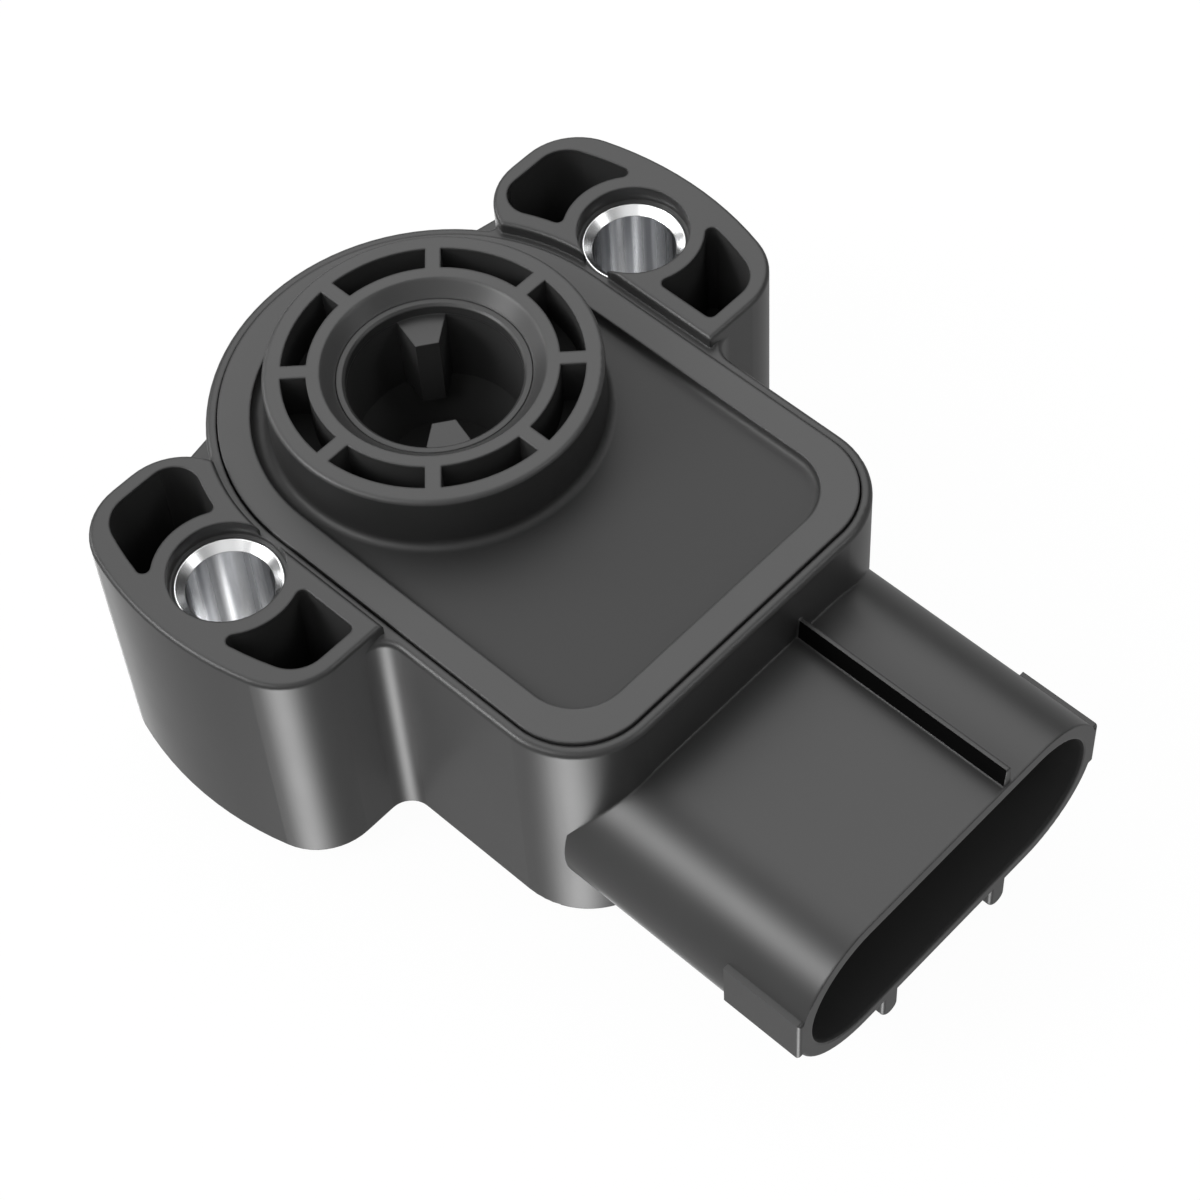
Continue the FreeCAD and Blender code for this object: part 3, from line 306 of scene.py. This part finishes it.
# Rotor: its drive recess is matt and dark, painted shade in part, and the lugs' tops are as bright
# as the rim
rotorLook = {
    "colour": 42, "cloudColour": 46, "roughness": 0.38, "cloudScale": 90.0,
    "edgeRadius": 0.15 * mm, "easedAbove": -20 * mm,
    "recessRadius": 6.3 * mm, "recessTop": 2.1 * mm, "lugTop": 1.3 * mm, "lugSkin": 0.04 * mm,
}


def rotorHollows(x, y, z):
    look = rotorLook
    inside = (distance(x, y) < look["recessRadius"]) * (z < look["recessTop"])
    return inside * (1.0 - z.within(look["lugTop"], look["lugSkin"]))


dress(plasticFinish("rotorPlastic", rotorLook, rotorHollows), "rotor")

# Compression limiters: turned rings on the end and bevel, and broad dark bands round the bore that
# are a painted reflection
limiterLook = {
    "colour": (0.95, 0.955, 0.96, 1), "reflectionBandColour": (0.34, 0.345, 0.36, 1),
    "roughness": 0.2, "streakRoughness": 0.12, "edgeRadius": 0.1 * mm,
    "holeY": 20.15 * mm, "bore": 3.09 * mm,
    "streakScale": 2.6, "streakDetail": 2.0, "streakGrit": 0.45,
    "streakLow": 0.36, "streakHigh": 0.64,
    "ringScale": 14000.0, "ringDetail": 2.0, "ringGrit": 0.5,
    "ringHeight": 0.003 * mm, "ringStrength": 0.5,
}


def limiterFinish(look):
    finish = newFinish("turnedMetal")
    x, y, z = finish.axes(finish.place())
    offset = abs(y) - look["holeY"]
    angle = offset.angleTo(x)
    radius = distance(x, offset)
    around = finish.vector(angle.cosine(), angle.sine(), 0.0)
    # painted reflection: broad light and dark bands round the bore
    bandNoise = finish.noise(look["streakScale"], look["streakDetail"], look["streakGrit"], around)
    reflectionBand = finish.between(bandNoise, look["streakLow"], look["streakHigh"])
    reflectionBand = reflectionBand * (radius < look["bore"])
    rings = finish.noise(look["ringScale"], look["ringDetail"], look["ringGrit"],
                         finish.vector(radius, z, 0.0))
    return finish.shade(
        Base_Color=finish.blend(reflectionBand, look["colour"], look["reflectionBandColour"]), Metallic=1.0,
        Roughness=look["roughness"] + reflectionBand * look["streakRoughness"],
        Normal=finish.bump(rings, look["ringHeight"], look["ringStrength"],
                           finish.softEdges(look["edgeRadius"])))


dress(limiterFinish(limiterLook), "limiter_near", "limiter_far")

# What the metals inside share: tarnish clouds, and fine marks that run along one axis
innerMetalLook = {
    "cloudDetail": 5.0, "cloudLow": 0.35, "cloudHigh": 0.68,
    "markDetail": 3.0, "markGrit": 0.6, "markStrength": 0.5,
}


def metalFinish(name, look):
    shared = innerMetalLook
    finish = newFinish(name)
    axes = finish.axes(finish.place())
    patches = finish.noise(look["cloudScale"], shared["cloudDetail"])
    cloud = finish.between(patches, shared["cloudLow"], shared["cloudHigh"])
    stretched = finish.vector(*[axis * pull for axis, pull in zip(axes, look["stretch"])])
    marks = finish.noise(look["markScale"], shared["markDetail"], shared["markGrit"], stretched)
    return finish.shade(
        Base_Color=finish.blend(cloud, look["colour"], look["tarnish"]), Metallic=1.0,
        Roughness=look["roughness"] + marks * look["markRoughness"],
        Normal=finish.bump(marks, look["markHeight"], shared["markStrength"],
                           finish.softEdges(look["edgeRadius"])))


# Tinned terminals, drawn along their length
terminalLook = {
    "colour": (0.72, 0.71, 0.66, 1), "tarnish": (0.55, 0.53, 0.47, 1), "roughness": 0.26,
    "markRoughness": 0.15, "markScale": 4000.0, "markHeight": 0.004 * mm,
    "stretch": (0.15, 1.0, 1.0), "cloudScale": 400.0, "edgeRadius": 0.08 * mm,
}
dress(metalFinish("tinPlate", terminalLook), "terminal_1", "terminal_2", "terminal_3")

# Return spring and spring washer: drawn and rolled spring steel, blue-grey
springLook = {
    "colour": (0.46, 0.47, 0.5, 1), "tarnish": (0.3, 0.31, 0.35, 1), "roughness": 0.3,
    "markRoughness": 0.2, "markScale": 5000.0, "markHeight": 0.004 * mm,
    "stretch": (0.5, 0.5, 1.0), "cloudScale": 350.0, "edgeRadius": 0.05 * mm,
}
dress(metalFinish("springSteel", springLook), "return_spring", "spring_washer")

# Thrust washer: plain bronze, darkened in patches
thrustLook = {
    "colour": (0.6, 0.4, 0.2, 1), "tarnish": (0.4, 0.25, 0.12, 1), "roughness": 0.34,
    "markRoughness": 0.2, "markScale": 4500.0, "markHeight": 0.004 * mm,
    "stretch": (1.0, 1.0, 0.2), "cloudScale": 500.0, "edgeRadius": 0.05 * mm,
}
dress(metalFinish("bearingBronze", thrustLook), "thrust_washer")

# Wiper: polished contact alloy
wiperLook = {
    "colour": (0.8, 0.66, 0.38, 1), "tarnish": (0.66, 0.52, 0.3, 1), "roughness": 0.2,
    "markRoughness": 0.16, "markScale": 6000.0, "markHeight": 0.002 * mm,
    "stretch": (1.0, 0.2, 1.0), "cloudScale": 600.0, "edgeRadius": 0.04 * mm,
}
dress(metalFinish("contactAlloy", wiperLook), "wiper")

# Solder: bright with frosted patches
solderLook = {
    "colour": (0.76, 0.77, 0.78, 1), "tarnish": (0.55, 0.56, 0.57, 1), "roughness": 0.22,
    "markRoughness": 0.3, "markScale": 2500.0, "markHeight": 0.01 * mm,
    "stretch": (1.0, 1.0, 1.0), "cloudScale": 1500.0, "edgeRadius": 0.1 * mm,
}
dress(metalFinish("solderMetal", solderLook), "solder_joint_1", "solder_joint_2", "solder_joint_3")

# Printed inks: silver on the collector and the conductors, carbon on the resistor
silverLook = {
    "colour": (0.62, 0.61, 0.58, 1), "flakeColour": (0.74, 0.73, 0.7, 1), "metallic": 0.8,
    "roughness": 0.42, "flakeRoughness": 0.2, "flakeScale": 9000.0,
    "meshPitch": 0.16 * mm, "meshHeight": 0.006 * mm, "meshStrength": 0.6,
}
carbonLook = {
    "colour": (0.012, 0.012, 0.013, 1), "flakeColour": (0.03, 0.03, 0.032, 1), "metallic": 0.0,
    "roughness": 0.5, "flakeRoughness": 0.2, "flakeScale": 12000.0,
    "meshPitch": 0.16 * mm, "meshHeight": 0.005 * mm, "meshStrength": 0.6,
}


def inkFinish(name, look):
    # flakes, and the mesh of the printing screen in the surface
    finish = newFinish(name)
    x, y, z = finish.axes(finish.place())
    flakes = finish.node("ShaderNodeTexVoronoi", sockets={
        "Vector": finish.place(), "Scale": look["flakeScale"]}, out="Distance")
    mesh = ripple(x, look["meshPitch"]) * ripple(y, look["meshPitch"])
    return finish.shade(
        Base_Color=finish.blend(flakes, look["colour"], look["flakeColour"]),
        Metallic=look["metallic"], Roughness=look["roughness"] + flakes * look["flakeRoughness"],
        Normal=finish.bump(mesh + flakes, look["meshHeight"], look["meshStrength"]))


dress(inkFinish("silverInk", silverLook),
      "collector_track", "conductor_near", "conductor_middle", "conductor_far")
dress(inkFinish("carbonInk", carbonLook), "resistor_track")

# Element board: green laminate, its glass cloth showing faintly
boardLook = {
    "colour": (0.025, 0.09, 0.04, 1), "clothColour": (0.045, 0.14, 0.06, 1),
    "roughness": 0.38, "cloudRoughness": 0.1, "cloudScale": 120.0, "cloudDetail": 4.0,
    "clothPitch": 0.5 * mm, "clothHeight": 0.01 * mm, "clothStrength": 0.5,
    "edgeRadius": 0.08 * mm,
}


def boardFinish(look):
    finish = newFinish("glassLaminate")
    x, y, z = finish.axes(finish.place())
    weave = ripple(x, look["clothPitch"]) * ripple(y, look["clothPitch"])
    cloth = finish.between(weave, -1.0, 1.0)
    cloud = finish.noise(look["cloudScale"], look["cloudDetail"])
    return finish.shade(
        Base_Color=finish.blend(cloth * cloud, look["colour"], look["clothColour"]),
        Roughness=look["roughness"] + cloud * look["cloudRoughness"],
        Normal=finish.bump(cloth, look["clothHeight"], look["clothStrength"],
                           finish.softEdges(look["edgeRadius"])))


dress(boardFinish(boardLook), "element_board")

# Seals: soft black rubber with a bloom
rubberLook = {
    "colour": 18, "bloomColour": 34, "roughness": 0.55, "bloomRoughness": 0.15,
    "bloomScale": 260.0, "bloomDetail": 6.0, "bloomLow": 0.42, "bloomHigh": 0.7,
    "grainScale": 7000.0, "grainDetail": 3.0, "grainHeight": 0.006 * mm, "grainStrength": 0.7,
}


def rubberFinish(look):
    finish = newFinish("sealRubber")
    patches = finish.noise(look["bloomScale"], look["bloomDetail"])
    bloom = finish.between(patches, look["bloomLow"], look["bloomHigh"])
    grain = finish.noise(look["grainScale"], look["grainDetail"])
    return finish.shade(
        Base_Color=finish.blend(bloom, grey(look["colour"]), grey(look["bloomColour"])),
        Roughness=look["roughness"] + bloom * look["bloomRoughness"],
        Normal=finish.bump(grain, look["grainHeight"], look["grainStrength"]))


dress(rubberFinish(rubberLook), "cover_seal", "shaft_seal")
print("finishes on all", len(nodes), "nodes")

# Floor: pale paper just under the part, white to the camera but for a very faint shadow
floorLook = {"size": 4, "drop": 0.02 * mm, "colour": (0.9, 0.9, 0.9, 1), "glow": 0.97}
bpy.ops.mesh.primitive_plane_add(
    size=floorLook["size"], location=(0, 0, cadBounds[0][2] - floorLook["drop"]))
floor = bpy.context.object
floor.name = "floor"
floor.visible_glossy = False
paper = newFinish("floorPaper")
seen = paper.node("ShaderNodeLightPath", out="Is Camera Ray")
diffuse = paper.node("ShaderNodeBsdfDiffuse", sockets={"Color": floorLook["colour"]})
glow = paper.node("ShaderNodeEmission", sockets={"Color": white, "Strength": 1.0})
floor.data.materials.append(paper.show(paper.layer(seen * floorLook["glow"], diffuse, glow)))

# Studio: a grey tent, dimmer above, with one broad panel overhead and soft bells of light whose
# mirror images make the bands on the walls. The camera sees it plain white. Each bell is a
# direction, the angle in degrees at which it has fallen to half, and its strength.
studioLook = {
    "below": 0.46, "above": 0.22, "horizon": 0.1,
    "panel": (-0.418, 0.39, 0.821), "panelInner": 18, "panelOuter": 42, "panelStrength": 1.8,
    "bells": [
        ((0.5, -0.47, 0.73), 24, 0.6),
        ((-0.418, -0.72, 0.55), 10.5, 14.0),
        ((-0.88, -0.32, 0.34), 8, 8.0),
        ((0.1, -0.66, 0.74), 7, 6.0),
        ((0.671, 0.39, 0.631), 7, 6.0),
        ((0.26, -0.51, -0.821), 11.5, 7.6),
        ((-0.5, 0.22, -0.84), 9.5, 4.4),
    ],
}
world = bpy.data.worlds.new("studio")
bpy.context.scene.world = world
tent = Finish(world)
towards = tent.node("ShaderNodeTexCoord", out="Generated")


def facing(direction):
    unit = tuple(Vector(direction).normalized())
    return tent.node("ShaderNodeVectorMath", {"operation": "DOT_PRODUCT"}, {
        0: towards, 1: unit}, out="Value")


def cosineOf(degrees):
    return math.cos(math.radians(degrees))


def studioLight(look):
    light = tent.between(facing((0, 0, 1)), -look["horizon"], look["horizon"],
                         look["below"], look["above"], "SMOOTHSTEP")
    light = light + tent.between(
        facing(look["panel"]), cosineOf(look["panelOuter"]), cosineOf(look["panelInner"]),
        0.0, look["panelStrength"], "SMOOTHSTEP")
    for direction, half, strength in look["bells"]:
        sharpness = math.log(0.5) / math.log(cosineOf(half))
        light = light + facing(direction).floorAt(0.0) ** sharpness * strength
    return light


light = studioLight(studioLook)
camRay = tent.node("ShaderNodeLightPath", out="Is Camera Ray")
shining = tent.mix("FLOAT", camRay, light, 1.0)
tent.show(tent.node("ShaderNodeBackground", sockets={"Color": white, "Strength": shining}),
          "ShaderNodeOutputWorld")

# Camera at the photograph's viewing angle
photoCamera = {
    "lens": 94.299, "sensor": 36, "nearest": 0.01,
    "place": (0.107408, -0.086735, 0.171325), "shift": (0.00426, -0.00039),
    "right": (0.7276975, 0.6843907, -0.04545027),
    "down": (0.5439909, -0.61623387, -0.56949953),
    "ahead": (-0.41776818, 0.38969885, -0.82073416),
}
lens = bpy.data.cameras.new("photoView")
lens.lens = photoCamera["lens"]
lens.sensor_width = photoCamera["sensor"]
lens.shift_x, lens.shift_y = photoCamera["shift"]
lens.clip_start = photoCamera["nearest"]
camera = bpy.data.objects.new("photoView", lens)
bpy.context.scene.collection.objects.link(camera)
up = [-part for part in photoCamera["down"]]
back = [-part for part in photoCamera["ahead"]]
turn = Matrix((photoCamera["right"], up, back)).transposed()
camera.matrix_world = Matrix.Translation(photoCamera["place"]) @ turn.to_4x4()
bpy.context.scene.camera = camera
bpy.context.scene.view_settings.view_transform = "Standard"
print("stage and camera set")
